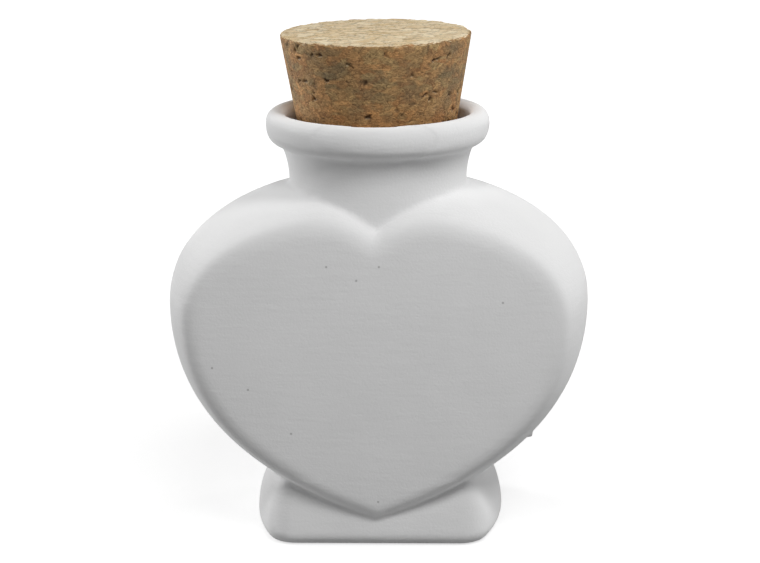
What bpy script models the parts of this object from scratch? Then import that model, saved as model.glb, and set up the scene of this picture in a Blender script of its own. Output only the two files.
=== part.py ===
"""Heart-shaped bisque jar with a tapered cork stopper. Metres, +Z up, standing on z = 0, front to -Y."""

import math

import bmesh
import bpy
from mathutils import Matrix

MM = 0.001

# Heart-shaped belly, seen from the front
BODY_HALF_WIDTH = 49.6 * MM
WIDEST_HEIGHT = 54.25 * MM
LOBE_OFFSET = 13.0 * MM
LOBE_HEIGHT = 83.0 * MM
CLEFT_HEIGHT = 79.0 * MM
TIP_HEIGHT = 1.1 * MM

# How far each curve of the outline pulls along its end directions
LOWER_SIDE_PULL = 35.7 * MM
TIP_PULL = 13.1 * MM
TIP_ANGLE = math.radians(22.7)
UPPER_SIDE_PULL = 20.8 * MM
LOBE_OUTER_PULL = 9.0 * MM
LOBE_INNER_PULL = 6.5 * MM
CLEFT_PULL = 2.2 * MM
CLEFT_ANGLE = math.radians(32.0)
TIP_STRAIGHT_SHARE = 0.14

# Belly in depth: flat faces, and a crowned band between them that the mould parts along
BODY_HALF_DEPTH = 26.0 * MM
SIDE_CROWN_RADIUS = 62.0 * MM
EDGE_RADIUS = 4.0 * MM
INNER_EDGE_RADIUS = 2.5 * MM
WALL = 4.2 * MM

# Foot: bowed ends that flare out towards the ground, between flat faces that lie back
FOOT_HALF_WIDTH = 29.3 * MM
FOOT_HALF_DEPTH = 25.3 * MM
FOOT_END_RADIUS = 65.0 * MM
FOOT_CORNER_RADIUS = 7.0 * MM
FOOT_HOLLOW_CORNER_RADIUS = 6.5 * MM
FOOT_WIDEST_HEIGHT = 2.8 * MM
FOOT_FACE_SLOPE = 0.28
FOOT_TOP_HEIGHT = 16.0 * MM
FOOT_SIDE_RADIUS = 20.0 * MM
FOOT_EDGE_RADIUS = 2.8 * MM
FLOOR_HEIGHT = 5.0 * MM
RECESS_DEPTH = 0.8 * MM
RECESS_MARGIN = 6.5 * MM
RECESS_CORNER_RADIUS = 3.0 * MM

# Cork stopper, tapered, leaning a little in its seat
CORK_BOTTOM_RADIUS = 16.35 * MM
CORK_TOP_RADIUS = 22.4 * MM
CORK_LENGTH = 34.6 * MM
CORK_SUNK = 16.5 * MM
CORK_EDGE_BREAK = 0.6 * MM
CORK_LEAN = math.radians(-0.5)

# Neck and rim, sized from the cork that seats in them
JAR_HEIGHT = 99.3 * MM
SEAT_GAP = 0.4 * MM
SEAT_LENGTH = 4.5 * MM
NECK_WALL = 4.1 * MM
RIM_OVERHANG = 5.4 * MM
BEAD_OUTER_HALF = 2.4 * MM
BEAD_INNER_HALF = 2.4 * MM
BEAD_RISE = 2.8 * MM
BEAD_PULL = 5.5 * MM
UNDERCUT_DROP = 8.3 * MM
UNDERCUT_OVERHANG = 1.8 * MM
UNDERCUT_ANGLE = math.radians(60.0)
UNDERCUT_UPPER_PULL = 1.1 * MM
UNDERCUT_LOWER_PULL = 2.2 * MM
COVE_DROP = 8.4 * MM
COVE_PULL = 2.9 * MM
LIP_DROP = 2.0 * MM
MOUTH_DEPTH = 5.5 * MM

# How far a cut runs past what it clears, and how near two points are taken as one
OVERRUN = 2.0 * MM
MERGE = 0.01 * MM

# Straight steps in each curve
LOWER_STEPS = 14
LOBE_STEPS = 14
CLEFT_STEPS = 6
CROWN_STEPS = 4
EDGE_STEPS = 5
CORNER_STEPS = 6
END_STEPS = 4
FOOT_SIDE_STEPS = 5
BEAD_STEPS = 5
COVE_STEPS = 5
FUNNEL_STEPS = 5
TURN_STEPS = 60
CORK_STEPS = 64
SMOOTH_ANGLE = math.radians(35.0)

# Sizes that follow from those above
CORK_TAPER = (CORK_TOP_RADIUS - CORK_BOTTOM_RADIUS) / CORK_LENGTH
SEAT_BOTTOM = JAR_HEIGHT - CORK_SUNK
SEAT_TOP = SEAT_BOTTOM + SEAT_LENGTH
SEAT_MIDDLE = SEAT_BOTTOM + SEAT_LENGTH / 2
THROAT_RADIUS = CORK_BOTTOM_RADIUS + SEAT_GAP
SEAT_TOP_RADIUS = THROAT_RADIUS + SEAT_LENGTH * CORK_TAPER
NECK_RADIUS = THROAT_RADIUS + NECK_WALL
CREST_RADIUS = NECK_RADIUS + RIM_OVERHANG - BEAD_OUTER_HALF
MOUTH_RADIUS = CREST_RADIUS - BEAD_INNER_HALF


def clear_scene():
    for item in list(bpy.data.objects):
        bpy.data.objects.remove(item, do_unlink=True)


def new_collection(name):
    collection = bpy.data.collections.new(name)
    bpy.context.scene.collection.children.link(collection)
    return collection


def new_material(name, colour, roughness):
    material = bpy.data.materials.new(name)
    material.use_nodes = True
    shader = material.node_tree.nodes["Principled BSDF"]
    shader.inputs["Base Color"].default_value = (*colour, 1.0)
    shader.inputs["Roughness"].default_value = roughness
    shader.inputs["Metallic"].default_value = 0.0
    return material


def mesh_object(name, bm, collection):
    mesh = bpy.data.meshes.new(name)
    bm.to_mesh(mesh)
    bm.free()
    item = bpy.data.objects.new(name, mesh)
    collection.objects.link(item)
    return item


def hide_tool(item):
    """Keeps a shape that only cuts or joins out of the finished object."""
    item.hide_render = True
    item.display_type = "WIRE"


def combine(target, operation, tool):
    hide_tool(tool)
    modifier = target.modifiers.new(tool.name, "BOOLEAN")
    modifier.operation = operation
    modifier.solver = "EXACT"
    modifier.object = tool


def ellipse(centre, reach, rise, first, last, steps):
    """Points of an ellipse between two angles in radians, both ends included."""
    angles = [first + (last - first) * step / steps for step in range(steps + 1)]
    return [(centre[0] + reach * math.cos(a), centre[1] + rise * math.sin(a)) for a in angles]


def curve(start, leave, arrive, end, steps, first_share=0.0):
    """Points of one cubic curve from a first share of it to its end, by its ends and two pulling points."""
    points = []
    for step in range(steps + 1):
        share = first_share + (1 - first_share) * step / steps
        rest = 1 - share
        weights = (rest**3, 3 * rest**2 * share, 3 * rest * share**2, share**3)
        corners = (start, leave, arrive, end)
        points.append(tuple(sum(w * c[axis] for w, c in zip(weights, corners)) for axis in (0, 1)))
    return points


def heart_outline():
    """The heart on the parting plane, anticlockwise from its lower tip."""
    tip = (0.0, TIP_HEIGHT)
    tip_pull = (TIP_PULL * math.cos(TIP_ANGLE), TIP_HEIGHT + TIP_PULL * math.sin(TIP_ANGLE))
    side = (BODY_HALF_WIDTH, WIDEST_HEIGHT)
    below_side = (BODY_HALF_WIDTH, WIDEST_HEIGHT - LOWER_SIDE_PULL)
    above_side = (BODY_HALF_WIDTH, WIDEST_HEIGHT + UPPER_SIDE_PULL)
    lobe = (LOBE_OFFSET, LOBE_HEIGHT)
    outside_lobe = (LOBE_OFFSET + LOBE_OUTER_PULL, LOBE_HEIGHT)
    inside_lobe = (LOBE_OFFSET - LOBE_INNER_PULL, LOBE_HEIGHT)
    cleft = (0.0, CLEFT_HEIGHT)
    cleft_pull = (CLEFT_PULL * math.cos(CLEFT_ANGLE), CLEFT_HEIGHT + CLEFT_PULL * math.sin(CLEFT_ANGLE))
    lower = [tip] + curve(tip, tip_pull, below_side, side, LOWER_STEPS, TIP_STRAIGHT_SHARE)
    outer = curve(side, above_side, outside_lobe, lobe, LOBE_STEPS)
    inner = curve(lobe, inside_lobe, cleft_pull, cleft, CLEFT_STEPS)
    right = lower + outer[1:] + inner[1:]
    left = [(-across, up) for across, up in reversed(right[1:-1])]
    return right + left


def foot_outline(margin, radius):
    """The foot in plan, drawn in by a margin, anticlockwise: bowed ends, flat faces, round corners."""
    end_radius = FOOT_END_RADIUS - margin
    end_centre = (FOOT_HALF_WIDTH - FOOT_END_RADIUS, 0.0)
    along = FOOT_HALF_DEPTH - margin - radius
    turn = math.asin(along / (end_radius - radius))
    corner_centre = (end_centre[0] + (end_radius - radius) * math.cos(turn), along)
    end = ellipse(end_centre, end_radius, end_radius, 0.0, turn, END_STEPS)
    quarter = end + ellipse(corner_centre, radius, radius, turn, math.pi / 2, CORNER_STEPS)[1:]
    back = quarter + [(-x, y) for x, y in reversed(quarter)]
    return back + [(-x, -y) for x, y in back[1:-1]]


def round_edge(depth, radius):
    """(inset, depth) pairs: an upright side, then a round edge onto a flat end."""
    pairs = [(0.0, 0.0), (0.0, depth - radius)]
    for step in range(1, EDGE_STEPS + 1):
        angle = math.pi / 2 * step / EDGE_STEPS
        pairs.append((radius * (1 - math.cos(angle)), depth - radius * (1 - math.sin(angle))))
    return pairs


def crowned_side(depth, crown, radius):
    """(inset, depth) pairs: a side on one large radius, then a round edge onto a flat end."""
    turn = math.asin((depth - radius) / (crown - radius))
    pairs = []
    for step in range(CROWN_STEPS + 1):
        angle = turn * step / CROWN_STEPS
        pairs.append((crown * (1 - math.cos(angle)), crown * math.sin(angle)))
    across, along = pairs[-1]
    for step in range(1, EDGE_STEPS + 1):
        angle = turn + (math.pi / 2 - turn) * step / EDGE_STEPS
        run = across + radius * (math.cos(turn) - math.cos(angle))
        rise = along + radius * (math.sin(angle) - math.sin(turn))
        pairs.append((run, rise))
    return pairs


def flare(height):
    """How far the foot's side has drawn in at a height, along its one large radius."""
    return FOOT_SIDE_RADIUS - math.sqrt(FOOT_SIDE_RADIUS**2 - (height - FOOT_WIDEST_HEIGHT) ** 2)


def foot_section(level):
    """(inset, depth) pairs up the foot's side, counted from a level."""
    climbs = [(FOOT_TOP_HEIGHT - level) * step / FOOT_SIDE_STEPS for step in range(FOOT_SIDE_STEPS + 1)]
    return [(flare(level + climb) - flare(level), climb) for climb in climbs]


def inset_face(bm, face, thickness, depth):
    """Draws a flat face in and raises it; the ring of faces it leaves is returned."""
    bm.normal_update()
    made = bmesh.ops.inset_region(
        bm, faces=[face], use_boundary=True, use_even_offset=True, thickness=thickness, depth=depth
    )
    return made["faces"]


def raise_face(bm, face, pairs):
    for (run, rise), (next_run, next_rise) in zip(pairs, pairs[1:]):
        inset_face(bm, face, next_run - run, next_rise - rise)


def stepped_solid(name, outline, start, upper, lower, place, collection):
    """A solid that grows both ways from a flat outline, itself drawn in by start."""
    bm = bmesh.new()
    face = bm.faces.new([bm.verts.new((u, v, 0.0)) for u, v in outline])
    if start:
        bmesh.ops.delete(bm, geom=inset_face(bm, face, start, 0.0), context="FACES")
    border = list(face.verts)
    raise_face(bm, face, upper)
    raise_face(bm, bm.faces.new(reversed(border)), lower)
    bmesh.ops.transform(bm, matrix=place, verts=bm.verts)
    bmesh.ops.recalc_face_normals(bm, faces=bm.faces)
    return mesh_object(name, bm, collection)


def belly(name, skin, radius, collection):
    """The heart with both faces, drawn in all over by a skin's thickness."""
    section = crowned_side(BODY_HALF_DEPTH - skin, SIDE_CROWN_RADIUS - skin, radius)
    upright = Matrix.Rotation(math.pi / 2, 4, "X")
    return stepped_solid(name, heart_outline(), skin, section, section, upright, collection)


def lay_back(item, skin):
    """Straightens the foot's front and back, which lie back from the ground at one slope."""
    for vertex in item.data.vertices:
        climb = vertex.co.z - FOOT_WIDEST_HEIGHT
        if climb > 0:
            flared = FOOT_HALF_DEPTH - skin - flare(vertex.co.z)
            vertex.co.y *= (FOOT_HALF_DEPTH - skin - FOOT_FACE_SLOPE * climb) / flared


def foot(name, skin, corner, level, bottom, radius, collection):
    """The foot drawn in by a skin's thickness, from a flat bottom to its top inside the belly."""
    outline = foot_outline(skin + flare(level), corner)
    drop = round_edge(level - bottom, radius)
    place = Matrix.Translation((0.0, 0.0, level))
    item = stepped_solid(name, outline, 0.0, foot_section(level), drop, place, collection)
    lay_back(item, skin)
    return item


def recess(name, collection):
    """The shallow hollow under the foot, which leaves a ring to stand on."""
    outline = foot_outline(RECESS_MARGIN, RECESS_CORNER_RADIUS)
    upper = [(0.0, 0.0), (RECESS_DEPTH, RECESS_DEPTH)]
    lower = [(0.0, 0.0), (0.0, OVERRUN)]
    return stepped_solid(name, outline, 0.0, upper, lower, Matrix.Identity(4), collection)


def neck_profile():
    """The neck's wall as (radius, height) points, down its outside and up its inside."""
    bead = (CREST_RADIUS, JAR_HEIGHT - BEAD_RISE)
    lip = (CREST_RADIUS, JAR_HEIGHT - LIP_DROP)
    quarter = math.pi / 2
    outside = ellipse(bead, BEAD_OUTER_HALF, BEAD_RISE, quarter, 0.0, BEAD_STEPS)
    widest = outside[-1]
    undercut = (NECK_RADIUS + UNDERCUT_OVERHANG, JAR_HEIGHT - UNDERCUT_DROP)
    reach, rise = math.cos(UNDERCUT_ANGLE), math.sin(UNDERCUT_ANGLE)
    above = (undercut[0] + UNDERCUT_UPPER_PULL * reach, undercut[1] + UNDERCUT_UPPER_PULL * rise)
    below = (undercut[0] - UNDERCUT_LOWER_PULL * reach, undercut[1] - UNDERCUT_LOWER_PULL * rise)
    cove = (NECK_RADIUS, undercut[1] - COVE_DROP)
    outside += curve(widest, (widest[0], widest[1] - BEAD_PULL), above, undercut, BEAD_STEPS)[1:]
    outside += curve(undercut, below, (cove[0], cove[1] + COVE_PULL), cove, COVE_STEPS)[1:]
    inside = [(NECK_RADIUS, WIDEST_HEIGHT), (THROAT_RADIUS, WIDEST_HEIGHT), (THROAT_RADIUS, SEAT_BOTTOM)]
    for step in range(FUNNEL_STEPS + 1):
        ease = (1 - math.cos(math.pi * step / FUNNEL_STEPS)) / 2
        height = SEAT_TOP + (JAR_HEIGHT - MOUTH_DEPTH - SEAT_TOP) * step / FUNNEL_STEPS
        inside.append((SEAT_TOP_RADIUS + (MOUTH_RADIUS - SEAT_TOP_RADIUS) * ease, height))
    inside += ellipse(lip, BEAD_INNER_HALF, LIP_DROP, math.pi, quarter, BEAD_STEPS)[:-1]
    return outside + inside


def neck(name, collection):
    """The neck and rim as a turned ring that reaches down into the belly."""
    bm = bmesh.new()
    ring = [bm.verts.new((radius, 0.0, height)) for radius, height in neck_profile()]
    for here, there in zip(ring, ring[1:] + ring[:1]):
        bm.edges.new((here, there))
    item = mesh_object(name, bm, collection)
    turn = item.modifiers.new("turn", "SCREW")
    turn.axis = "Z"
    turn.angle = 2 * math.pi
    turn.steps = TURN_STEPS
    turn.render_steps = TURN_STEPS
    turn.use_merge_vertices = True
    turn.merge_threshold = MERGE
    return item


def bore(name, collection):
    """Clears the belly's top out of the neck, down to the middle of the neck's wall."""
    bottom = WIDEST_HEIGHT + OVERRUN
    bm = bmesh.new()
    bmesh.ops.create_cone(
        bm,
        cap_ends=True,
        segments=TURN_STEPS,
        radius1=THROAT_RADIUS + NECK_WALL / 2,
        radius2=THROAT_RADIUS + NECK_WALL / 2,
        depth=JAR_HEIGHT - bottom,
        matrix=Matrix.Translation((0.0, 0.0, (JAR_HEIGHT + bottom) / 2)),
    )
    return mesh_object(name, bm, collection)


def jar_body(parts, cutters):
    """The cast jar in one piece: belly, foot and neck joined, then hollowed."""
    floor_level = FLOOR_HEIGHT + INNER_EDGE_RADIUS
    outer_foot = foot(
        "foot", 0.0, FOOT_CORNER_RADIUS, FOOT_WIDEST_HEIGHT, 0.0, FOOT_EDGE_RADIUS, cutters
    )
    foot_hollow = foot(
        "foot_hollow", WALL, FOOT_HOLLOW_CORNER_RADIUS, floor_level, FLOOR_HEIGHT, INNER_EDGE_RADIUS, cutters
    )
    jar = belly("jar_body", 0.0, EDGE_RADIUS, parts)
    combine(jar, "UNION", outer_foot)
    combine(jar, "DIFFERENCE", bore("bore", cutters))
    combine(jar, "UNION", neck("neck", cutters))
    combine(jar, "DIFFERENCE", belly("belly_hollow", WALL, INNER_EDGE_RADIUS, cutters))
    combine(jar, "DIFFERENCE", foot_hollow)
    combine(jar, "DIFFERENCE", recess("recess", cutters))
    jar.data.materials.append(new_material("bisque earthenware", (0.80, 0.80, 0.79), 0.9))
    jar.data.shade_smooth()
    jar.data.set_sharp_from_angle(angle=SMOOTH_ANGLE)
    return jar


def cork_stopper(parts):
    """The stopper, with its origin on its own axis at the middle of its seat."""
    bm = bmesh.new()
    bmesh.ops.create_cone(
        bm,
        cap_ends=True,
        segments=CORK_STEPS,
        radius1=CORK_BOTTOM_RADIUS,
        radius2=CORK_TOP_RADIUS,
        depth=CORK_LENGTH,
        matrix=Matrix.Translation((0.0, 0.0, (CORK_LENGTH - SEAT_LENGTH) / 2)),
    )
    cork = mesh_object("cork_stopper", bm, parts)
    edge = cork.modifiers.new("edge break", "BEVEL")
    edge.width = CORK_EDGE_BREAK
    edge.segments = 2
    cork.data.materials.append(new_material("agglomerated cork", (0.50, 0.36, 0.21), 0.85))
    cork.data.shade_smooth()
    cork.data.set_sharp_from_angle(angle=SMOOTH_ANGLE)
    seat = bpy.data.objects.new("seat_axis", None)
    parts.objects.link(seat)
    seat.location = (0.0, 0.0, SEAT_MIDDLE)
    seat.rotation_euler = (0.0, CORK_LEAN, 0.0)
    cork.parent = seat
    return cork


clear_scene()
part_collection = new_collection("heart_jar")
cutter_collection = new_collection("cutters")
jar_body(part_collection, cutter_collection)
cork_stopper(part_collection)
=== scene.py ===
"""A heart-shaped bisque jar with a cork stopper: its looks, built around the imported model."""

import math

import bmesh
import bpy
from mathutils import Matrix, Vector, noise


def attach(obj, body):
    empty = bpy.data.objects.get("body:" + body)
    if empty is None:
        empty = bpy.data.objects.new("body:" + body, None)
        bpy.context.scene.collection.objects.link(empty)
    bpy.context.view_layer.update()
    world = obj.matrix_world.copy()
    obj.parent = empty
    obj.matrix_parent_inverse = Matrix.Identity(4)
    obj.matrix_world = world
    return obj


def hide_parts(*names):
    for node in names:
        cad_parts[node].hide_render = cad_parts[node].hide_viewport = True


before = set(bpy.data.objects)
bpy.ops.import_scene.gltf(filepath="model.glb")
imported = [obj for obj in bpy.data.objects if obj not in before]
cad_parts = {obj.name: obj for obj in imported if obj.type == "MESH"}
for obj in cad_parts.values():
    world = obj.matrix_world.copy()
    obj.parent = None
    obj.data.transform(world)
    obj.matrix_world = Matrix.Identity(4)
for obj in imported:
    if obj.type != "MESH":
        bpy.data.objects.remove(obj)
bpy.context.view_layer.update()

# The camera: a long lens a little above the jar, as in a catalogue picture of it.
# The frame is 760 by 563 pixels, and the focal length is worked out in those pixels.
FRAME_WIDTH_PX = 760
FOCAL_PX = 2679
CAMERA_DISTANCE = 0.637
CAMERA_PITCH = math.radians(13.6)
CAMERA_AZIMUTH = math.radians(2.0)
CAMERA_ROLL = math.radians(-0.43)
CAMERA_AIM = Vector((0.0003, 0.0, 0.0576))


def place_camera():
    """Puts the camera on its ray from the aim point, turned a touch about its own axis."""
    data = bpy.data.cameras.new("long_lens")
    data.lens = FOCAL_PX / FRAME_WIDTH_PX * data.sensor_width
    camera = bpy.data.objects.new("long_lens", data)
    bpy.context.scene.collection.objects.link(camera)
    away = Vector((
        math.sin(CAMERA_AZIMUTH) * math.cos(CAMERA_PITCH),
        -math.cos(CAMERA_AZIMUTH) * math.cos(CAMERA_PITCH),
        math.sin(CAMERA_PITCH),
    ))
    look = away.to_track_quat("Z", "Y").to_matrix().to_4x4()
    place = Matrix.Translation(CAMERA_AIM + away * CAMERA_DISTANCE)
    camera.matrix_world = place @ look @ Matrix.Rotation(CAMERA_ROLL, 4, "Z")
    bpy.context.scene.camera = camera


place_camera()

# The belly: the largest part of the one-piece jar, slip-cast in a two-part plaster mould.
# Its heart outline lies on the mould's parting plane. From there the side curves in a little
# both ways, up to the round edges of the two flat faces, so the cast leaves the mould.
MM = 0.001
BODY_HALF_WIDTH = 49.6 * MM
WIDEST_HEIGHT = 54.25 * MM
LOBE_OFFSET = 13.0 * MM
LOBE_HEIGHT = 83.0 * MM
CLEFT_HEIGHT = 79.0 * MM
TIP_HEIGHT = 1.1 * MM
LOWER_SIDE_PULL = 35.7 * MM
TIP_PULL = 13.1 * MM
TIP_ANGLE = math.radians(22.7)
UPPER_SIDE_PULL = 20.8 * MM
LOBE_OUTER_PULL = 9.0 * MM
LOBE_INNER_PULL = 6.5 * MM
CLEFT_PULL = 2.2 * MM
CLEFT_ANGLE = math.radians(32.0)
BODY_HALF_DEPTH = 26.0 * MM
SIDE_CROWN_RADIUS = 62.0 * MM
EDGE_RADIUS = 4.0 * MM
INNER_EDGE_RADIUS = 2.5 * MM
WALL = 4.2 * MM
TIP_STRAIGHT_SHARE = 0.14
LOWER_SIDE_STEPS = 44
UPPER_SIDE_STEPS = 32
CLEFT_STEPS = 8
EDGE_STEPS = 9
CROWN_STEPS = 10


def pulled_curve(start, leave, arrive, end, steps, first_share=0.0):
    """Points of one cubic curve; the stretch before first_share stays straight."""
    points = []
    for step in range(steps + 1):
        share = first_share + (1 - first_share) * step / steps
        rest = 1 - share
        weights = (rest**3, 3 * rest**2 * share, 3 * rest * share**2, share**3)
        corners = (start, leave, arrive, end)
        points.append(tuple(sum(w * c[axis] for w, c in zip(weights, corners)) for axis in (0, 1)))
    return points


def heart_outline():
    """The heart as (across, up) points, anticlockwise from its lower tip."""
    tip = (0.0, TIP_HEIGHT)
    tip_pull = (TIP_PULL * math.cos(TIP_ANGLE), TIP_HEIGHT + TIP_PULL * math.sin(TIP_ANGLE))
    side = (BODY_HALF_WIDTH, WIDEST_HEIGHT)
    below_side = (BODY_HALF_WIDTH, WIDEST_HEIGHT - LOWER_SIDE_PULL)
    above_side = (BODY_HALF_WIDTH, WIDEST_HEIGHT + UPPER_SIDE_PULL)
    lobe = (LOBE_OFFSET, LOBE_HEIGHT)
    outside_lobe = (LOBE_OFFSET + LOBE_OUTER_PULL, LOBE_HEIGHT)
    inside_lobe = (LOBE_OFFSET - LOBE_INNER_PULL, LOBE_HEIGHT)
    cleft = (0.0, CLEFT_HEIGHT)
    cleft_pull = (CLEFT_PULL * math.cos(CLEFT_ANGLE), CLEFT_HEIGHT + CLEFT_PULL * math.sin(CLEFT_ANGLE))
    right = [tip] + pulled_curve(tip, tip_pull, below_side, side, LOWER_SIDE_STEPS, TIP_STRAIGHT_SHARE)
    right += pulled_curve(side, above_side, outside_lobe, lobe, UPPER_SIDE_STEPS)[1:]
    right += pulled_curve(lobe, inside_lobe, cleft_pull, cleft, CLEFT_STEPS)[1:]
    return right + [(-across, up) for across, up in reversed(right[1:-1])]


def round_edge(depth, radius):
    """(inset, depth) pairs for an upright side with a round edge at its end."""
    pairs = [(0.0, 0.0), (0.0, depth - radius)]
    for step in range(1, EDGE_STEPS + 1):
        angle = math.pi / 2 * step / EDGE_STEPS
        pairs.append((radius * (1 - math.cos(angle)), depth - radius * (1 - math.sin(angle))))
    return pairs


def crowned_side(depth, crown, radius):
    """(inset, depth) pairs for a side on one large radius, with a round edge at its end."""
    turn = math.asin((depth - radius) / (crown - radius))
    pairs = []
    for step in range(CROWN_STEPS + 1):
        angle = turn * step / CROWN_STEPS
        pairs.append((crown * (1 - math.cos(angle)), crown * math.sin(angle)))
    run, rise = pairs[-1]
    for step in range(1, EDGE_STEPS + 1):
        angle = turn + (math.pi / 2 - turn) * step / EDGE_STEPS
        pairs.append((
            run + radius * (math.cos(turn) - math.cos(angle)),
            rise + radius * (math.sin(angle) - math.sin(turn)),
        ))
    return pairs


def draw_in(bm, face, thickness, depth):
    """Insets one face and moves it along its normal; returns the faces made round it."""
    bm.normal_update()
    made = bmesh.ops.inset_region(
        bm, faces=[face], use_boundary=True, use_even_offset=True, thickness=thickness, depth=depth
    )
    return made["faces"]


def raise_face(bm, face, pairs):
    for (run, rise), (next_run, next_rise) in zip(pairs, pairs[1:]):
        draw_in(bm, face, next_run - run, next_rise - rise)


def two_sided_block(outline, start, front, back, place):
    """A bmesh that grows both ways from a flat outline, by pairs of inset and depth."""
    bm = bmesh.new()
    face = bm.faces.new([bm.verts.new((u, v, 0.0)) for u, v in outline])
    if start:
        bmesh.ops.delete(bm, geom=draw_in(bm, face, start, 0.0), context="FACES")
    border = list(face.verts)
    raise_face(bm, face, front)
    raise_face(bm, bm.faces.new(reversed(border)), back)
    bmesh.ops.transform(bm, matrix=place, verts=bm.verts)
    bmesh.ops.recalc_face_normals(bm, faces=bm.faces)
    return bm


def new_piece(name, bm):
    mesh = bpy.data.meshes.new(name)
    bm.to_mesh(mesh)
    bm.free()
    piece = bpy.data.objects.new(name, mesh)
    bpy.context.scene.collection.objects.link(piece)
    return piece


def belly(name, skin, radius):
    section = crowned_side(BODY_HALF_DEPTH - skin, SIDE_CROWN_RADIUS - skin, radius)
    upright = Matrix.Rotation(math.pi / 2, 4, "X")
    return new_piece(name, two_sided_block(heart_outline(), skin, section, section, upright))


# The foot: cast with the belly, so it is the same clay. Its ends bow and its sides
# flare towards the ground; the shallow recess below leaves a ring that stands level.
FOOT_HALF_WIDTH = 29.3 * MM
FOOT_HALF_DEPTH = 25.3 * MM
FOOT_END_RADIUS = 65.0 * MM
FOOT_CORNER_RADIUS = 7.0 * MM
FOOT_HOLLOW_CORNER_RADIUS = 6.5 * MM
FOOT_WIDEST_HEIGHT = 2.8 * MM
FOOT_FACE_SLOPE = 0.28
FOOT_TOP_HEIGHT = 16.0 * MM
FOOT_SIDE_RADIUS = 20.0 * MM
FOOT_EDGE_RADIUS = 2.8 * MM
FLOOR_HEIGHT = 5.0 * MM
RECESS_DEPTH = 0.8 * MM
RECESS_MARGIN = 6.5 * MM
RECESS_CORNER_RADIUS = 3.0 * MM
FOOT_END_STEPS = 8
FOOT_CORNER_STEPS = 10
FLARE_STEPS = 12
OVERRUN = 2.0 * MM


def arc(centre, radius, first, last, steps):
    angles = [first + (last - first) * step / steps for step in range(steps + 1)]
    return [(centre[0] + radius * math.cos(a), centre[1] + radius * math.sin(a)) for a in angles]


def foot_outline(margin, radius):
    """The foot in plan, drawn in by a margin: bowed ends, flat faces, round corners."""
    end_radius = FOOT_END_RADIUS - margin
    end_centre = (FOOT_HALF_WIDTH - FOOT_END_RADIUS, 0.0)
    along = FOOT_HALF_DEPTH - margin - radius
    turn = math.asin(along / (end_radius - radius))
    corner_centre = (end_centre[0] + (end_radius - radius) * math.cos(turn), along)
    quarter = arc(end_centre, end_radius, 0.0, turn, FOOT_END_STEPS)
    quarter += arc(corner_centre, radius, turn, math.pi / 2, FOOT_CORNER_STEPS)[1:]
    back = quarter + [(-x, y) for x, y in reversed(quarter)]
    return back + [(-x, -y) for x, y in back[1:-1]]


def flare(height):
    """How far the foot's ends have drawn in at a height, on one large hollow radius."""
    return FOOT_SIDE_RADIUS - math.sqrt(FOOT_SIDE_RADIUS**2 - (height - FOOT_WIDEST_HEIGHT) ** 2)


def foot(name, skin, corner, level, bottom, radius):
    """The foot a skin's thickness in, built up and down from one level, its faces laid back."""
    climbs = [(FOOT_TOP_HEIGHT - level) * step / FLARE_STEPS for step in range(FLARE_STEPS + 1)]
    up = [(flare(level + climb) - flare(level), climb) for climb in climbs]
    outline = foot_outline(skin + flare(level), corner)
    down = round_edge(level - bottom, radius)
    bm = two_sided_block(outline, 0.0, up, down, Matrix.Translation((0.0, 0.0, level)))
    for vertex in bm.verts:
        climb = vertex.co.z - FOOT_WIDEST_HEIGHT
        if climb > 0:
            laid_back = FOOT_HALF_DEPTH - skin - FOOT_FACE_SLOPE * climb
            vertex.co.y *= laid_back / (FOOT_HALF_DEPTH - skin - flare(vertex.co.z))
    return new_piece(name, bm)


def foot_recess():
    outline = foot_outline(RECESS_MARGIN, RECESS_CORNER_RADIUS)
    up = [(0.0, 0.0), (RECESS_DEPTH, RECESS_DEPTH)]
    down = [(0.0, 0.0), (0.0, OVERRUN)]
    return new_piece("foot_recess", two_sided_block(outline, 0.0, up, down, Matrix.Identity(4)))


# The neck and rim: turned on the mould's model, so they are round, and cast with the belly.
# A thick bead rolls over the mouth, and a funnel inside guides the cork down to its seat.
JAR_HEIGHT = 99.3 * MM
THROAT_RADIUS = 16.75 * MM
SEAT_BOTTOM = 82.8 * MM
SEAT_TOP = 87.3 * MM
SEAT_TOP_RADIUS = 17.54 * MM
NECK_RADIUS = 20.85 * MM
CREST_RADIUS = 23.85 * MM
BEAD_OUTER_HALF = 2.4 * MM
BEAD_INNER_HALF = 2.4 * MM
BEAD_RISE = 2.8 * MM
BEAD_PULL = 5.5 * MM
UNDERCUT_DROP = 8.3 * MM
UNDERCUT_OVERHANG = 1.8 * MM
UNDERCUT_ANGLE = math.radians(60.0)
UNDERCUT_UPPER_PULL = 1.1 * MM
UNDERCUT_LOWER_PULL = 2.2 * MM
COVE_DROP = 8.4 * MM
COVE_PULL = 2.9 * MM
LIP_DROP = 2.0 * MM
MOUTH_DEPTH = 5.5 * MM
BEAD_STEPS = 12
UNDERCUT_STEPS = 16
COVE_STEPS = 12
FUNNEL_STEPS = 12
LIP_STEPS = 10
TURN_STEPS = 144
MERGE_REACH = 0.001 * MM


def oval(centre, reach, rise, first, last, steps):
    angles = [first + (last - first) * step / steps for step in range(steps + 1)]
    return [(centre[0] + reach * math.cos(a), centre[1] + rise * math.sin(a)) for a in angles]


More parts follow.
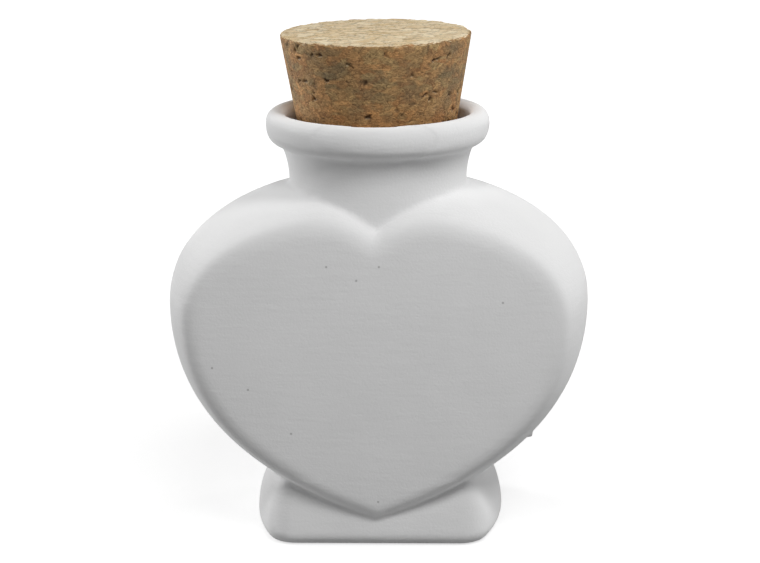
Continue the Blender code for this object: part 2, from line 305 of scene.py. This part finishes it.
def neck_profile():
    """(radius, height) points down the neck's outside and up its inside."""
    bead = (CREST_RADIUS, JAR_HEIGHT - BEAD_RISE)
    lip = (CREST_RADIUS, JAR_HEIGHT - LIP_DROP)
    mouth_radius = CREST_RADIUS - BEAD_INNER_HALF
    quarter = math.pi / 2
    points = oval(bead, BEAD_OUTER_HALF, BEAD_RISE, quarter, 0.0, BEAD_STEPS)
    widest = points[-1]
    undercut = (NECK_RADIUS + UNDERCUT_OVERHANG, JAR_HEIGHT - UNDERCUT_DROP)
    reach, rise = math.cos(UNDERCUT_ANGLE), math.sin(UNDERCUT_ANGLE)
    above = (undercut[0] + UNDERCUT_UPPER_PULL * reach, undercut[1] + UNDERCUT_UPPER_PULL * rise)
    below = (undercut[0] - UNDERCUT_LOWER_PULL * reach, undercut[1] - UNDERCUT_LOWER_PULL * rise)
    cove = (NECK_RADIUS, undercut[1] - COVE_DROP)
    below_widest = (widest[0], widest[1] - BEAD_PULL)
    above_cove = (cove[0], cove[1] + COVE_PULL)
    points += pulled_curve(widest, below_widest, above, undercut, UNDERCUT_STEPS)[1:]
    points += pulled_curve(undercut, below, above_cove, cove, COVE_STEPS)[1:]
    points += [(NECK_RADIUS, WIDEST_HEIGHT), (THROAT_RADIUS, WIDEST_HEIGHT)]
    points.append((THROAT_RADIUS, SEAT_BOTTOM))
    for step in range(FUNNEL_STEPS + 1):
        ease = (1 - math.cos(math.pi * step / FUNNEL_STEPS)) / 2
        height = SEAT_TOP + (JAR_HEIGHT - MOUTH_DEPTH - SEAT_TOP) * step / FUNNEL_STEPS
        points.append((SEAT_TOP_RADIUS + (mouth_radius - SEAT_TOP_RADIUS) * ease, height))
    return points + oval(lip, BEAD_INNER_HALF, LIP_DROP, math.pi, quarter, LIP_STEPS)[:-1]


def neck():
    bm = bmesh.new()
    ring = [bm.verts.new((radius, 0.0, height)) for radius, height in neck_profile()]
    edges = [bm.edges.new(pair) for pair in zip(ring, ring[1:] + ring[:1])]
    bmesh.ops.spin(
        bm, geom=ring + edges, cent=(0, 0, 0), axis=(0, 0, 1), angle=2 * math.pi,
        steps=TURN_STEPS, use_merge=True,
    )
    bmesh.ops.remove_doubles(bm, verts=bm.verts, dist=MERGE_REACH)
    bmesh.ops.recalc_face_normals(bm, faces=bm.faces)
    return new_piece("neck", bm)


def neck_bore():
    """A plug that clears the belly's wall inside the neck, so the neck's own bore stays open."""
    bottom = WIDEST_HEIGHT + OVERRUN
    radius = (THROAT_RADIUS + NECK_RADIUS) / 2
    bm = bmesh.new()
    bmesh.ops.create_cone(
        bm, cap_ends=True, segments=TURN_STEPS, radius1=radius, radius2=radius,
        depth=JAR_HEIGHT - bottom, matrix=Matrix.Translation((0.0, 0.0, (JAR_HEIGHT + bottom) / 2)),
    )
    return new_piece("neck_bore", bm)


# The finished jar: belly, foot and neck are one cast, about 4 mm thick all round.
# A wet sponge softened every join before the bisque firing, so no corner is left sharp,
# and the mould's seam was scraped down to a faint line round the sides.
VOXEL = 0.5 * MM
SPONGE_PASSES = 5
SMOOTH_FACTOR = 0.5
JAR_TRIANGLES = 180000
SEAM_HALF_WIDTH = 0.55 * MM
SEAM_RISE = 0.10 * MM
SEAM_PATCH = 7 * MM
SEAM_BIAS = 0.5
SEAM_FACING = 0.5
NIB_PLACE = Vector((36.0, -12.6, 23.5)) * MM
NIB_RADIUS = 1.0 * MM
NIB_RISE = 0.9 * MM
EASED_BEYOND = 22.0 * MM
EASE_PASSES = 60
FACE_CENTRE_HEIGHT = 45.0 * MM
FACE_REACH = 42.0 * MM
FACE_SWELL = 0.75 * MM


def combine(target, operation, tool):
    """Adds a Boolean of one piece on another and hands back the tool, to be removed later."""
    modifier = target.modifiers.new(tool.name, "BOOLEAN")
    modifier.operation = operation
    modifier.solver = "EXACT"
    modifier.object = tool
    return tool


def settle(piece):
    """Makes a piece's modifiers part of its mesh."""
    graph = bpy.context.evaluated_depsgraph_get()
    mesh = bpy.data.meshes.new_from_object(piece.evaluated_get(graph))
    piece.modifiers.clear()
    piece.data = mesh


def remesh_and_soften(piece, voxel, passes):
    """Gives a piece one even skin and rounds every corner a little."""
    fine = piece.modifiers.new("fine skin", "REMESH")
    fine.mode = "VOXEL"
    fine.voxel_size = voxel
    soft = piece.modifiers.new("sponged", "SMOOTH")
    soft.factor = SMOOTH_FACTOR
    soft.iterations = passes
    settle(piece)


def ease_face_edges(piece):
    """Wears the round edge of both flat faces wider, as the sponge runs along it.
    It also reaches the front and back of the rim, which stand out as far as the faces do."""
    edge = piece.vertex_groups.new(name="face_edge")
    near = [
        vertex.index for vertex in piece.data.vertices
        if abs(vertex.co.y) > EASED_BEYOND and vertex.co.z > FOOT_TOP_HEIGHT
    ]
    edge.add(near, 1.0, "REPLACE")
    soft = piece.modifiers.new("eased edges", "SMOOTH")
    soft.factor = SMOOTH_FACTOR
    soft.iterations = EASE_PASSES
    soft.vertex_group = edge.name
    settle(piece)


def swell(across, up):
    """How far the face stands out of its plane at a place on it."""
    return FACE_SWELL * max(1 - (math.hypot(across, up - FACE_CENTRE_HEIGHT) / FACE_REACH) ** 3, 0.0)


def swell_faces(mesh):
    """Bows both flat faces out a little, as a cast does where it dries off the plaster last."""
    for vertex in mesh.vertices:
        place = vertex.co
        outer = (abs(place.y) - (BODY_HALF_DEPTH - EDGE_RADIUS)) / EDGE_RADIUS
        if outer > 0:
            place.y += math.copysign(swell(place.x, place.z) * min(outer, 1.0), place.y)


def raise_seam(mesh):
    """Leaves a trace of the seam on the parting plane, and one nib where the scraper missed."""
    normals = [vertex.normal.copy() for vertex in mesh.vertices]
    for vertex, outward in zip(mesh.vertices, normals):
        place = vertex.co
        rise = 0.0
        on_seam = abs(place.y) < SEAM_HALF_WIDTH and abs(outward.y) < SEAM_FACING
        if on_seam and place.length > BODY_HALF_DEPTH:
            ridge = 1 - (place.y / SEAM_HALF_WIDTH) ** 2
            patchy = noise.noise(place / SEAM_PATCH) + SEAM_BIAS
            rise = SEAM_RISE * ridge * min(max(patchy, 0.0), 1.0)
        nearness = 1 - (place - NIB_PLACE).length / NIB_RADIUS
        if nearness > 0:
            rise += NIB_RISE * nearness
        if rise:
            vertex.co = place + outward * rise


def make_jar():
    """Joins the parts of the cast, hollows it and wears it as the sponge and the scraper do."""
    jar = belly("bisque_jar", 0.0, EDGE_RADIUS)
    floor_level = FLOOR_HEIGHT + INNER_EDGE_RADIUS
    outer_foot = foot("foot", 0.0, FOOT_CORNER_RADIUS, FOOT_WIDEST_HEIGHT, 0.0, FOOT_EDGE_RADIUS)
    inner_foot = foot(
        "foot_hollow", WALL, FOOT_HOLLOW_CORNER_RADIUS, floor_level, FLOOR_HEIGHT, INNER_EDGE_RADIUS
    )
    tools = [
        combine(jar, "UNION", outer_foot),
        combine(jar, "DIFFERENCE", neck_bore()),
        combine(jar, "UNION", neck()),
        combine(jar, "DIFFERENCE", belly("belly_hollow", WALL, INNER_EDGE_RADIUS)),
        combine(jar, "DIFFERENCE", inner_foot),
        combine(jar, "DIFFERENCE", foot_recess()),
    ]
    settle(jar)
    for tool in tools:
        bpy.data.objects.remove(tool, do_unlink=True)
    remesh_and_soften(jar, VOXEL, SPONGE_PASSES)
    ease_face_edges(jar)
    swell_faces(jar.data)
    raise_seam(jar.data)
    triangles = sum(len(polygon.vertices) - 2 for polygon in jar.data.polygons)
    thin = jar.modifiers.new("thin out", "DECIMATE")
    thin.ratio = min(1.0, JAR_TRIANGLES / triangles)
    settle(jar)
    jar.data.shade_smooth()
    return jar


# Its surface. The pinholes are (across, up) places in mm on the front and on the back, where
# air bubbles opened in the kiln; the funnel below the lip is painted brown, fading towards the lip.
# The brown stays where the radius, less the spread times the height, is under the funnel's wall.
FUNNEL_SPREAD = 0.586
FUNNEL_WALL_INSIDE = -32.9 * MM
FUNNEL_WALL_OUTSIDE = -32.3 * MM
BROWN_FADES_FROM = 92.5 * MM
BROWN_ENDS_AT = 97 * MM
BROWN_SHARE = 0.6
PINHOLE_CORE = 0.12 * MM
PINHOLE_REACH = 0.36 * MM
PINHOLE_SHARE = 0.5
MOTTLE_WIDTH = 14 * MM
STREAK_LENGTH = 9 * MM
GRAIN_WIDTH = 0.55 * MM
FRONT_PINHOLES = [
    (1.0, 67.4), (-4.2, 64.2), (-11.0, 67.4), (-37.6, 43.4), (-29.4, 38.3), (-19.6, 27.8),
    (0.4, 11.3), (29.2, 59.0),
]
BACK_PINHOLES = [(21.0, 61.0), (-9.0, 33.0), (33.0, 47.0)]


def linear(hex_code):
    """An sRGB hex colour as the linear RGBA that a shader socket takes."""
    shares = [int(hex_code[place:place + 2], 16) / 255 for place in (1, 3, 5)]
    return tuple(s / 12.92 if s <= 0.04045 else ((s + 0.055) / 1.055) ** 2.4 for s in shares) + (1.0,)


def add(material, kind, inputs=None, **settings):
    """Adds a node with its settings; each input takes a value or another node's output."""
    node = material.node_tree.nodes.new(kind)
    for name, value in settings.items():
        setattr(node, name, value)
    for socket, value in (inputs or {}).items():
        if isinstance(value, bpy.types.NodeSocket):
            material.node_tree.links.new(value, node.inputs[socket])
        else:
            node.inputs[socket].default_value = value
    return node


def bare_material(name):
    material = bpy.data.materials.new(name)
    material.use_nodes = True
    material.node_tree.nodes.clear()
    return material


def bisque_earthenware():
    """White earthenware fired once and left unglazed: chalky, matt and very slightly grainy.
    The eye sees soft shading with no highlight, faint sponge streaks, a few pinholes, and
    a brown tint painted on the funnel below the lip."""
    clay = bare_material("bisque earthenware")
    place = add(clay, "ShaderNodeTexCoord").outputs["Object"]
    mottle = add(clay, "ShaderNodeTexNoise", {"Vector": place, "Scale": 1 / MOTTLE_WIDTH, "Detail": 3.0})
    tone = add(
        clay, "ShaderNodeMix",
        {0: mottle.outputs["Fac"], 6: linear("#E3E3E3"), 7: linear("#EAEAEA")},
        data_type="RGBA",
    )
    nearest = None
    pinholes = [(across, -1, up) for across, up in FRONT_PINHOLES]
    pinholes += [(across, 1, up) for across, up in BACK_PINHOLES]
    for across, side, up in pinholes:
        depth = BODY_HALF_DEPTH + swell(across * MM, up * MM)
        spot = (across * MM, side * depth, up * MM)
        reach = add(clay, "ShaderNodeVectorMath", {0: place, 1: spot}, operation="DISTANCE")
        gap = reach.outputs["Value"]
        if nearest:
            gap = add(clay, "ShaderNodeMath", {0: nearest, 1: gap}, operation="MINIMUM").outputs[0]
        nearest = gap
    speck = add(
        clay, "ShaderNodeMapRange",
        {"Value": nearest, "From Min": PINHOLE_CORE, "From Max": PINHOLE_REACH,
         "To Min": PINHOLE_SHARE, "To Max": 0.0},
    )
    speckled = add(
        clay, "ShaderNodeMix", {0: speck.outputs["Result"], 6: tone.outputs[2], 7: linear("#6E6C69")},
        data_type="RGBA",
    )
    level = add(clay, "ShaderNodeSeparateXYZ", {0: place}).outputs["Z"]
    off_axis = add(clay, "ShaderNodeVectorMath", {0: place, 1: (1, 1, 0)}, operation="MULTIPLY")
    from_axis = add(clay, "ShaderNodeVectorMath", {0: off_axis.outputs["Vector"]}, operation="LENGTH")
    spread = add(clay, "ShaderNodeMath", {0: level, 1: FUNNEL_SPREAD}, operation="MULTIPLY")
    off_funnel = add(
        clay, "ShaderNodeMath", {0: from_axis.outputs["Value"], 1: spread.outputs[0]},
        operation="SUBTRACT",
    )
    within = add(
        clay, "ShaderNodeMapRange",
        {"Value": off_funnel.outputs[0], "From Min": FUNNEL_WALL_INSIDE,
         "From Max": FUNNEL_WALL_OUTSIDE, "To Min": 1.0, "To Max": 0.0},
    )
    below_lip = add(
        clay, "ShaderNodeMapRange",
        {"Value": level, "From Min": BROWN_FADES_FROM, "From Max": BROWN_ENDS_AT,
         "To Min": BROWN_SHARE, "To Max": 0.0},
    )
    # The funnel below the lip is painted brown, most from 92.5 mm down and fading out by 97 mm.
    funnel_browning = add(
        clay, "ShaderNodeMath", {0: within.outputs["Result"], 1: below_lip.outputs["Result"]},
        operation="MULTIPLY",
    )
    browned = add(
        clay, "ShaderNodeMix", {0: funnel_browning.outputs[0], 6: speckled.outputs[2], 7: linear("#A98259")},
        data_type="RGBA",
    )
    streak_place = add(
        clay, "ShaderNodeMapping",
        {"Vector": place, "Rotation": (0.0, 0.1, 0.0), "Scale": (1.0, 1.0, 6.0)},
    )
    streaks = add(
        clay, "ShaderNodeTexNoise",
        {"Vector": streak_place.outputs["Vector"], "Scale": 1 / STREAK_LENGTH, "Detail": 2.0},
    )
    grain = add(clay, "ShaderNodeTexNoise", {"Vector": place, "Scale": 1 / GRAIN_WIDTH, "Detail": 2.0})
    rough = add(
        clay, "ShaderNodeBump",
        {"Height": grain.outputs["Fac"], "Strength": 0.35, "Distance": 0.15 * MM},
    )
    streaked = add(
        clay, "ShaderNodeBump",
        {"Height": streaks.outputs["Fac"], "Strength": 0.25, "Distance": 0.30 * MM,
         "Normal": rough.outputs["Normal"]},
    )
    shader = add(
        clay, "ShaderNodeBsdfPrincipled",
        {"Base Color": browned.outputs[2], "Roughness": 0.92, "IOR": 1.45, "Diffuse Roughness": 0.6,
         "Normal": streaked.outputs["Normal"]},
    )
    add(clay, "ShaderNodeOutputMaterial", {"Surface": shader.outputs["BSDF"]})
    return clay


bisque_jar = make_jar()
bisque_jar.data.materials.clear()
bisque_jar.data.materials.append(bisque_earthenware())
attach(bisque_jar, "jar")
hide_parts("jar_body")

# The stopper: cork granules of 1 to 4 mm bound with a little glue, pressed into a block and
# turned to a taper. The cut end is pale and dry; the turned side is browner, with torn pits,
# and it leans half a degree in its seat, as it was pushed in by hand.
CORK_BOTTOM_RADIUS = 16.35 * MM
CORK_TOP_RADIUS = 22.4 * MM
CORK_LENGTH = 34.6 * MM
CORK_LEAN = math.radians(-0.5)
CORK_EDGE_BREAK = 0.5 * MM
CORK_VOXEL = 0.33 * MM
CORK_PASSES = 1
CORK_SEED = 4
SEAT_LENGTH = SEAT_TOP - SEAT_BOTTOM
FLAKE_ACROSS = 2.6 * MM
FLAKE_THICK = 1.4 * MM
GROOVE_DEPTH = 0.07 * MM
PIT_DEPTH = 0.45 * MM
PIT_SPACING = 1.5 * MM
PIT_SHARE = 0.045
PIT_FLATNESS = 1.3
PIT_BORDER = 0.3
GROOVE_BORDER = 0.09
GROOVE_SHADE = 0.45
PIT_SHADE = 0.8
WIDE_WARP_WIDTH = 3.1 * MM
WIDE_WARP = 0.55
FINE_WARP_WIDTH = 0.9 * MM
FINE_WARP = 0.12
PIT_WARP = 1.5
TONE_STEP = 7.13
HUE_STEP = 1.7
PIT_STEP = 9.1
TONE_SEED = Vector((0.37, 0.11, 0.53))
HUE_SEED = Vector((5.2, 1.3, 2.9))
CHIP_DEPTH = 0.8 * MM
CHIP_REACH = 1.5 * MM
CRUMB_WIDTH = 2.2 * MM
CRUMB_BIAS = 0.15
END_FACING = 0.8
CORK_SEGMENTS = 180


def cork_blank():
    bm = bmesh.new()
    bmesh.ops.create_cone(
        bm, cap_ends=True, segments=CORK_SEGMENTS, radius1=CORK_BOTTOM_RADIUS, radius2=CORK_TOP_RADIUS,
        depth=CORK_LENGTH, matrix=Matrix.Translation((0.0, 0.0, (CORK_LENGTH - SEAT_LENGTH) / 2)),
    )
    rims = [edge for edge in bm.edges if len({round(face.normal.z, 2) for face in edge.link_faces}) > 1]
    bmesh.ops.bevel(
        bm, geom=rims, offset=CORK_EDGE_BREAK, offset_type="OFFSET", segments=2, profile=0.5,
        affect="EDGES", material=-1, clamp_overlap=True,
    )
    return new_piece("cork_plug", bm)


def flake_at(place):
    """The flake a point lies in: its two random shares, how near its border is, and any pit.
    The warp bends the borders, and each cell's centre picks its shares through a seed."""
    warp = (
        noise.noise_vector(place / WIDE_WARP_WIDTH) * WIDE_WARP
        + noise.noise_vector(place / FINE_WARP_WIDTH) * FINE_WARP
    )
    spot = Vector((place.x / FLAKE_ACROSS, place.y / FLAKE_ACROSS, place.z / FLAKE_THICK)) + warp
    distances, centres = noise.voronoi(spot)
    key = centres[0] * TONE_STEP
    tone = (noise.cell(key + TONE_SEED) + 1) / 2
    hue = (noise.cell(key * HUE_STEP + HUE_SEED) + 1) / 2
    pit_spot = Vector((place.x, place.y, place.z * PIT_FLATNESS)) / PIT_SPACING + warp * PIT_WARP
    pit_gaps, pit_centres = noise.voronoi(pit_spot)
    torn = (noise.cell(pit_centres[0] * PIT_STEP) + 1) / 2 < PIT_SHARE
    pit = min((pit_gaps[1] - pit_gaps[0]) / PIT_BORDER, 1.0) if torn else 0.0
    return tone, hue, distances[1] - distances[0], pit


def tear_surface(mesh):
    """Sinks the borders between flakes, tears a few flakes out and crumbles the top edge."""
    granules = mesh.attributes.new("granule", "FLOAT_COLOR", "POINT")
    top = CORK_LENGTH - SEAT_LENGTH / 2
    taper = (CORK_TOP_RADIUS - CORK_BOTTOM_RADIUS) / CORK_LENGTH
    normals = [vertex.normal.copy() for vertex in mesh.vertices]
    for index, (vertex, outward) in enumerate(zip(mesh.vertices, normals)):
        place = vertex.co.copy()
        tone, hue, border, pit = flake_at(place)
        groove = min(max(1 - border / GROOVE_BORDER, 0.0), 1.0)
        if abs(outward.z) > END_FACING:
            pit = 0.0
        side_radius = CORK_BOTTOM_RADIUS + taper * (place.z + SEAT_LENGTH / 2)
        edge_gap = max(top - place.z, side_radius - math.hypot(place.x, place.y))
        crumbs = noise.fractal(place / CRUMB_WIDTH, 1.0, 2.0, 3) + CRUMB_BIAS
        chip = max(1 - edge_gap / CHIP_REACH, 0.0) * min(max(crumbs, 0.0), 1.0)
        sink = GROOVE_DEPTH * groove + PIT_DEPTH * pit + CHIP_DEPTH * chip
        vertex.co = place - outward * sink
        shade = min(GROOVE_SHADE * groove + PIT_SHADE * pit, 1.0)
        granules.data[index].color = (tone, hue, shade, 1.0)


def make_cork():
    """Turns, tears and leans the stopper; the seed keeps its flakes the same on every run."""
    cork = cork_blank()
    remesh_and_soften(cork, CORK_VOXEL, CORK_PASSES)
    noise.seed_set(CORK_SEED)
    tear_surface(cork.data)
    lean = Matrix.Rotation(CORK_LEAN, 4, "Y")
    cork.data.transform(Matrix.Translation((0.0, 0.0, SEAT_BOTTOM + SEAT_LENGTH / 2)) @ lean)
    cork.data.shade_smooth()
    return cork


def agglomerated_cork():
    """Granulated cork: tan, brown, pinkish and olive flakes with dark gaps between them.
    The eye sees a busy warm mottle, paler on the cut end, where light dust fills the pits."""
    cork = bare_material("agglomerated cork")
    place = add(cork, "ShaderNodeTexCoord").outputs["Object"]
    granule = add(cork, "ShaderNodeAttribute", attribute_name="granule")
    parts = add(cork, "ShaderNodeSeparateColor", {"Color": granule.outputs["Color"]})
    browns = add(
        cork, "ShaderNodeMix",
        {0: parts.outputs[0], 6: linear("#80603A"), 7: linear("#C49A62")}, data_type="RGBA",
    )
    tints = add(
        cork, "ShaderNodeMix",
        {0: parts.outputs[1], 6: linear("#958560"), 7: linear("#B27E52")}, data_type="RGBA",
    )
    side_tone = add(
        cork, "ShaderNodeMix", {0: 0.5, 6: browns.outputs[2], 7: tints.outputs[2]}, data_type="RGBA",
    )
    clouds = add(
        cork, "ShaderNodeTexNoise",
        {"Vector": place, "Scale": 1 / (7 * MM), "Detail": 3.0, "Roughness": 0.55, "Distortion": 0.6},
    )
    cloud = add(
        cork, "ShaderNodeMapRange",
        {"Value": clouds.outputs["Fac"], "From Min": 0.50, "From Max": 0.66,
         "To Min": 0.0, "To Max": 0.62},
    )
    clouded = add(
        cork, "ShaderNodeMix",
        {0: cloud.outputs["Result"], 6: side_tone.outputs[2], 7: linear("#6F6249")}, data_type="RGBA",
    )
    height = add(cork, "ShaderNodeSeparateXYZ", {0: place}).outputs["Z"]
    # The side is painted lighter and warmer just above the rim, fading out 9 mm higher.
    near_rim_band = add(
        cork, "ShaderNodeMapRange",
        {"Value": height, "From Min": 99 * MM, "From Max": 108 * MM, "To Min": 0.3, "To Max": 0.0},
    )
    warmed = add(
        cork, "ShaderNodeMix",
        {0: near_rim_band.outputs["Result"], 6: clouded.outputs[2], 7: linear("#C08B55")}, data_type="RGBA",
    )
    fibre_place = add(cork, "ShaderNodeMapping", {"Vector": place, "Scale": (1.0, 1.0, 1.7)})
    fibres = add(
        cork, "ShaderNodeTexNoise",
        {"Vector": fibre_place.outputs["Vector"], "Scale": 1 / (1.5 * MM), "Detail": 5.0,
         "Roughness": 0.62, "Distortion": 1.8},
    )
    fibre_share = add(
        cork, "ShaderNodeMapRange",
        {"Value": fibres.outputs["Fac"], "From Min": 0.32, "From Max": 0.68,
         "To Min": 0.55, "To Max": 1.5},
    )
    side = add(
        cork, "ShaderNodeVectorMath", {0: warmed.outputs[2], "Scale": fibre_share.outputs["Result"]},
        operation="SCALE",
    )
    end_tone = add(
        cork, "ShaderNodeMix",
        {0: parts.outputs[0], 6: linear("#D8BF94"), 7: linear("#EBDCBD")}, data_type="RGBA",
    )
    dash_place = add(cork, "ShaderNodeMapping", {"Vector": place, "Scale": (0.5, 1.6, 1.0)})
    dashes = add(
        cork, "ShaderNodeTexNoise",
        {"Vector": dash_place.outputs["Vector"], "Scale": 1 / (1.5 * MM), "Detail": 4.0,
         "Roughness": 0.6, "Distortion": 0.5},
    )
    dash = add(
        cork, "ShaderNodeMapRange",
        {"Value": dashes.outputs["Fac"], "From Min": 0.55, "From Max": 0.62,
         "To Min": 0.0, "To Max": 0.7},
    )
    end = add(
        cork, "ShaderNodeMix",
        {0: dash.outputs["Result"], 6: end_tone.outputs[2], 7: linear("#A9834F")}, data_type="RGBA",
    )
    outward = add(cork, "ShaderNodeNewGeometry").outputs["True Normal"]
    facing = add(cork, "ShaderNodeSeparateXYZ", {0: outward})
    cut_end = add(
        cork, "ShaderNodeMapRange",
        {"Value": facing.outputs["Z"], "From Min": 0.55, "From Max": 0.85},
    )
    surface = add(
        cork, "ShaderNodeMix",
        {0: cut_end.outputs["Result"], 6: side.outputs["Vector"], 7: end.outputs[2]}, data_type="RGBA",
    )
    hollow = add(
        cork, "ShaderNodeMix", {0: parts.outputs[2], 6: surface.outputs[2], 7: linear("#3C2817")},
        data_type="RGBA",
    )
    crack_place = add(cork, "ShaderNodeMapping", {"Vector": place, "Scale": (1.0, 1.0, 1.6)})
    crack_noise = add(
        cork, "ShaderNodeTexNoise",
        {"Vector": crack_place.outputs["Vector"], "Scale": 1 / (2.6 * MM), "Detail": 4.0,
         "Roughness": 0.6, "Distortion": 2.2},
    )
    crack_line = add(
        cork, "ShaderNodeMath", {0: crack_noise.outputs["Fac"], 1: 0.40}, operation="SUBTRACT",
    )
    crack_gap = add(cork, "ShaderNodeMath", {0: crack_line.outputs[0]}, operation="ABSOLUTE")
    crack = add(
        cork, "ShaderNodeMapRange",
        {"Value": crack_gap.outputs[0], "From Min": 0.003, "From Max": 0.016,
         "To Min": 0.75, "To Max": 0.0},
    )
    cracked = add(
        cork, "ShaderNodeMix",
        {0: crack.outputs["Result"], 6: hollow.outputs[2], 7: linear("#4A2F1B")}, data_type="RGBA",
    )
    rough = add(
        cork, "ShaderNodeBump",
        {"Height": fibres.outputs["Fac"], "Strength": 0.7, "Distance": 0.5 * MM},
    )
    shader = add(
        cork, "ShaderNodeBsdfPrincipled",
        {"Base Color": cracked.outputs[2], "Roughness": 0.85, "IOR": 1.4,
         "Normal": rough.outputs["Normal"]},
    )
    add(cork, "ShaderNodeOutputMaterial", {"Surface": shader.outputs["BSDF"]})
    return cork


cork_plug = make_cork()
cork_plug.data.materials.clear()
cork_plug.data.materials.append(agglomerated_cork())
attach(cork_plug, "stopper")
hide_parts("cork_stopper")

# The floor: a plain matt white table top that runs on behind the jar. It keeps the jar's shadow,
# and the camera alone sees it lifted to white, fully so from the far reach outwards.
FLOOR_HALF_SIZE = 3.0
LIFT_NEAR = 0.08
LIFT_FAR = 0.4
LIFT_NEAR_STRENGTH = 0.70


def make_floor():
    bm = bmesh.new()
    bmesh.ops.create_grid(bm, x_segments=1, y_segments=1, size=FLOOR_HALF_SIZE)
    floor = new_piece("table_top", bm)
    paint = bare_material("white table top")
    seen = add(paint, "ShaderNodeLightPath")
    diffuse = add(paint, "ShaderNodeBsdfDiffuse", {"Color": linear("#B4B4B4")})
    place = add(paint, "ShaderNodeTexCoord").outputs["Object"]
    away = add(paint, "ShaderNodeVectorMath", {0: place}, operation="LENGTH")
    lift = add(
        paint, "ShaderNodeMapRange",
        {"Value": away.outputs["Value"], "From Min": LIFT_NEAR, "From Max": LIFT_FAR,
         "To Min": LIFT_NEAR_STRENGTH, "To Max": 1.0},
    )
    glow = add(paint, "ShaderNodeEmission", {"Color": (1, 1, 1, 1), "Strength": lift.outputs["Result"]})
    nothing = add(paint, "ShaderNodeEmission", {"Color": (0, 0, 0, 1), "Strength": 0.0})
    lifted = add(
        paint, "ShaderNodeMixShader",
        {0: seen.outputs["Is Camera Ray"], 1: nothing.outputs[0], 2: glow.outputs[0]},
    )
    both = add(paint, "ShaderNodeAddShader", {0: diffuse.outputs[0], 1: lifted.outputs[0]})
    add(paint, "ShaderNodeOutputMaterial", {"Surface": both.outputs[0]})
    floor.data.materials.append(paint)
    return floor


make_floor()

# The lights: two small soft boxes above the front, and a larger one low on each side, a little
# behind the jar, so its flanks are brighter than its face. Angles are from the front, to the right.
# Each row is a name, azimuth and elevation in degrees, distance and width in metres, and watts.
SOFT_BOXES = [
    ("front_top", 0, 52, 0.42, 0.12, 0.54),
    ("right_top", 40, 50, 0.42, 0.12, 0.70),
    ("left_side", -115, 10, 0.9, 0.4, 7.2),
    ("right_side", 115, 10, 0.9, 0.4, 3.4),
]


def soft_box(name, azimuth, elevation, distance, width, watts):
    """A square lamp that looks at the camera's aim point from its own direction."""
    data = bpy.data.lights.new(name, "AREA")
    data.shape = "SQUARE"
    data.size = width
    data.energy = watts
    lamp = bpy.data.objects.new(name, data)
    bpy.context.scene.collection.objects.link(lamp)
    turn, rise = math.radians(azimuth), math.radians(elevation)
    away = Vector((
        math.sin(turn) * math.cos(rise), -math.cos(turn) * math.cos(rise), math.sin(rise)
    ))
    lamp.location = CAMERA_AIM + away * distance
    lamp.rotation_euler = away.to_track_quat("Z", "Y").to_euler()


for box in SOFT_BOXES:
    soft_box(*box)

# The backdrop: white paper where the camera looks past the floor, straight or in a reflection,
# and everywhere else a weak even fill, as from the walls of a small studio.
FILL_STRENGTH = 0.11
world = bpy.data.worlds.new("studio")
world.use_nodes = True
world.node_tree.nodes.clear()
path = add(world, "ShaderNodeLightPath")
seen_or_mirrored = add(
    world, "ShaderNodeMath", {0: path.outputs["Is Camera Ray"], 1: path.outputs["Is Glossy Ray"]},
    operation="MAXIMUM",
)
direct = add(
    world, "ShaderNodeMath", {0: seen_or_mirrored.outputs[0], 1: path.outputs["Is Transmission Ray"]},
    operation="MAXIMUM",
)
strength = add(
    world, "ShaderNodeMapRange",
    {"Value": direct.outputs[0], "To Min": FILL_STRENGTH, "To Max": 1.0},
)
backdrop = add(
    world, "ShaderNodeBackground", {"Color": (1, 1, 1, 1), "Strength": strength.outputs["Result"]},
)
add(world, "ShaderNodeOutputWorld", {"Surface": backdrop.outputs[0]})
bpy.context.scene.world = world
bpy.context.scene.view_settings.view_transform = "Standard"
